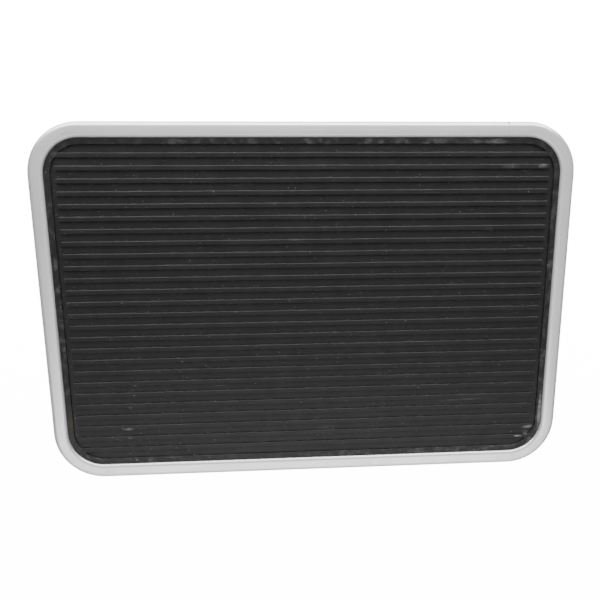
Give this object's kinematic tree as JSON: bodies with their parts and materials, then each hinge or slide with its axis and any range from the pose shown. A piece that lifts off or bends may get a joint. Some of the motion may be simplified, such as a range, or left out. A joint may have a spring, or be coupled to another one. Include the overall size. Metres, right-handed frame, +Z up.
{
  "type": "folding caravan entry step",
  "caption": "Folding entry step for a caravan: rounded steel platform with a ribbed rubber tread and splayed square-tube legs that fold flat under it.",
  "frame": {"origin": "middle of the platform seen from above, on the surface that the lower ends of the leg brackets stand on when the legs are folded", "axes": "+Z up through the tread, +X along the long side of the platform, +Y towards the long side with the frame's weld seam"},
  "size_m": [0.49, 0.332, 0.054],
  "materials": {
    "frame_paint": "smooth silver-grey enamel, semi-gloss",
    "deck_paint": "silver-grey enamel, satin",
    "mat_rubber": "matt black moulded rubber, lightly scuffed and dusty",
    "bracket_zinc": "silver-grey coated sheet",
    "rivet_zinc": "bright zinc",
    "washer_nylon": "natural nylon",
    "leg_paint": "silver-grey enamel, semi-gloss",
    "sleeve_steel": "plain cut steel tube",
    "foot_rubber": "matt black moulded rubber"
  },
  "bodies": {
    "platform": {"rim_frame": "frame_paint", "deck_panel": "deck_paint", "tread_mat": "mat_rubber", "leg_bracket_front_left": "bracket_zinc", "leg_bracket_front_right": "bracket_zinc", "leg_bracket_rear_left": "bracket_zinc", "leg_bracket_rear_right": "bracket_zinc", "pivot_rivet_front_left": "rivet_zinc", "pivot_rivet_front_right": "rivet_zinc", "pivot_rivet_rear_left": "rivet_zinc", "pivot_rivet_rear_right": "rivet_zinc", "hinge_washers": "washer_nylon"},
    "leg_front_left": {"leg_tube_front_left": "leg_paint", "spacer_sleeve_front_left": "sleeve_steel", "rubber_foot_front_left": "foot_rubber"},
    "leg_front_right": {"leg_tube_front_right": "leg_paint", "spacer_sleeve_front_right": "sleeve_steel", "rubber_foot_front_right": "foot_rubber"},
    "leg_rear_left": {"leg_tube_rear_left": "leg_paint", "spacer_sleeve_rear_left": "sleeve_steel", "rubber_foot_rear_left": "foot_rubber"},
    "leg_rear_right": {"leg_tube_rear_right": "leg_paint", "spacer_sleeve_rear_right": "sleeve_steel", "rubber_foot_rear_right": "foot_rubber"}
  },
  "joints": [
    {"name": "leg_hinge_front_left", "type": "hinge", "parent": "platform", "child": "leg_front_left", "pos_m": [-0.20714, -0.1341, 0.023], "axis": [-0.5299, 0.848, 0], "range_deg": [0, 114.5]},
    {"name": "leg_hinge_front_right", "type": "hinge", "parent": "platform", "child": "leg_front_right", "pos_m": [0.20714, -0.1341, 0.023], "axis": [-0.5299, -0.848, 0], "range_deg": [0, 114.5]},
    {"name": "leg_hinge_rear_left", "type": "hinge", "parent": "platform", "child": "leg_rear_left", "pos_m": [-0.20714, 0.1341, 0.023], "axis": [0.5299, 0.848, 0], "range_deg": [0, 114.5]},
    {"name": "leg_hinge_rear_right", "type": "hinge", "parent": "platform", "child": "leg_rear_right", "pos_m": [0.20714, 0.1341, 0.023], "axis": [0.5299, -0.848, 0], "range_deg": [0, 114.5]}
  ]
}
